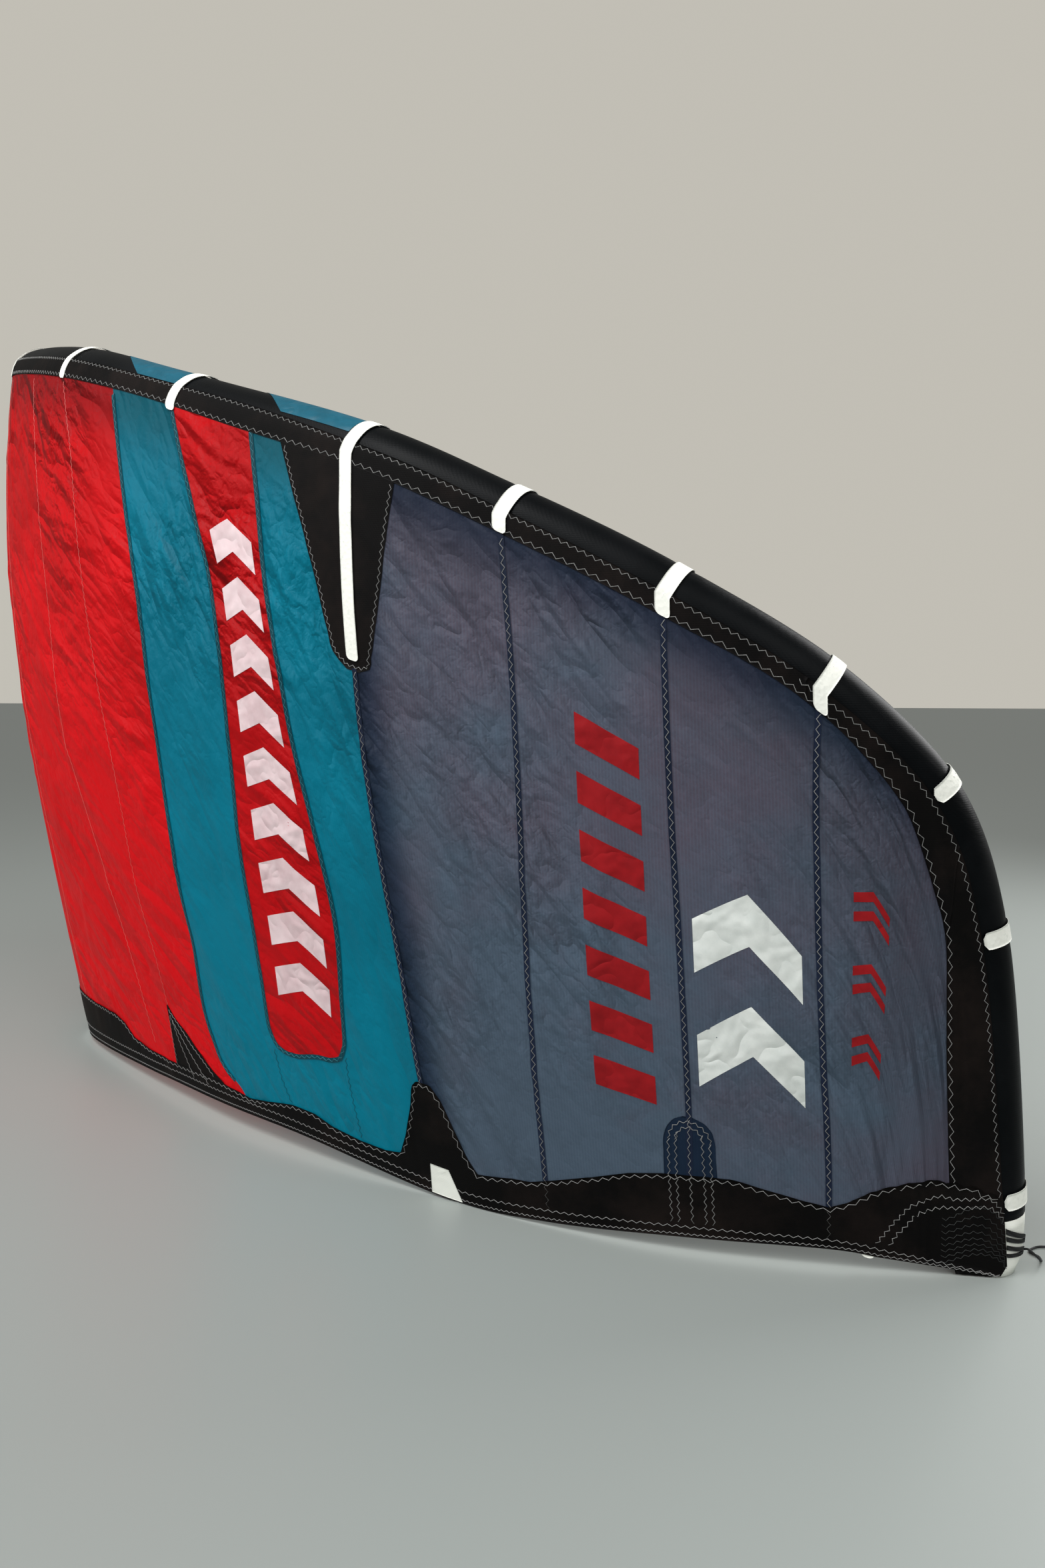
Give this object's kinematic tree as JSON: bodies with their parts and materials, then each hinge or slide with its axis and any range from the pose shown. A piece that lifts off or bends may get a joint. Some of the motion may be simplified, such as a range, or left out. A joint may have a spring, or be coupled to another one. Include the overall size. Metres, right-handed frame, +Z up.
{
  "type": "inflated kitesurfing kite",
  "caption": "Inflated kitesurfing kite standing on its trailing edge and tips, bent into a C, with a round leading edge tube on top and a patchwork canopy below.",
  "frame": {"origin": "on the surface it stands on, under the middle of the kite's box without the pigtail line", "axes": "+Z up, X from wing tip to wing tip, the rounded outer side of the C faces -Y and the tips point to +Y"},
  "size_m": [2.6936, 2.1341, 1.6589],
  "materials": {
    "red_canopy": "ripstop nylon, slightly glossy, with fine wrinkles",
    "teal_canopy": "ripstop nylon, slightly glossy, with fine wrinkles",
    "grey_canopy": "ripstop nylon with a fine upright grid, silky sheen",
    "tube_cloth": "black coated polyester sailcloth over an inflated bladder, matt to satin",
    "white_tape": "white coated polyester tape, matt",
    "webbing": "black woven webbing",
    "line": "black braided line"
  },
  "bodies": {
    "root": {"tube_near_1": "tube_cloth", "tube_near_2": "tube_cloth", "tube_near_3": "tube_cloth", "tube_near_4": "tube_cloth", "tube_near_5": "tube_cloth", "tube_near_6": "tube_cloth", "tube_near_7": "tube_cloth", "tube_near_8": "tube_cloth", "tube_near_9": "tube_cloth", "tube_near_10": "tube_cloth", "canopy_near_1": "red_canopy", "canopy_near_2": "teal_canopy", "canopy_near_3": "teal_canopy", "canopy_near_4": "grey_canopy", "canopy_near_5": "grey_canopy", "canopy_near_6": "grey_canopy", "canopy_near_7": "grey_canopy", "tape_near_1": "white_tape", "tape_near_2": "white_tape", "tape_near_3": "white_tape", "tape_near_4": "white_tape", "tape_near_5": "white_tape", "tape_near_6": "white_tape", "tape_near_7": "white_tape", "tape_near_8": "white_tape", "tape_near_9": "white_tape", "tube_far_1": "tube_cloth", "tube_far_2": "tube_cloth", "tube_far_3": "tube_cloth", "tube_far_4": "tube_cloth", "tube_far_5": "tube_cloth", "tube_far_6": "tube_cloth", "tube_far_7": "tube_cloth", "tube_far_8": "tube_cloth", "tube_far_9": "tube_cloth", "tube_far_10": "tube_cloth", "canopy_far_1": "red_canopy", "canopy_far_2": "teal_canopy", "canopy_far_3": "teal_canopy", "canopy_far_4": "grey_canopy", "canopy_far_5": "grey_canopy", "canopy_far_6": "grey_canopy", "canopy_far_7": "grey_canopy", "tape_far_1": "white_tape", "tape_far_2": "white_tape", "tape_far_3": "white_tape", "tape_far_4": "white_tape", "tape_far_5": "white_tape", "tape_far_6": "white_tape", "tape_far_7": "white_tape", "tape_far_8": "white_tape", "tape_far_9": "white_tape", "tape_centre": "white_tape", "strut_centre": "tube_cloth", "strut_near": "tube_cloth", "strut_far": "tube_cloth", "webbing_upper_near": "webbing", "webbing_lower_near": "webbing", "pigtail_line": "line", "pigtail_knot": "line"}
  },
  "joints": []
}
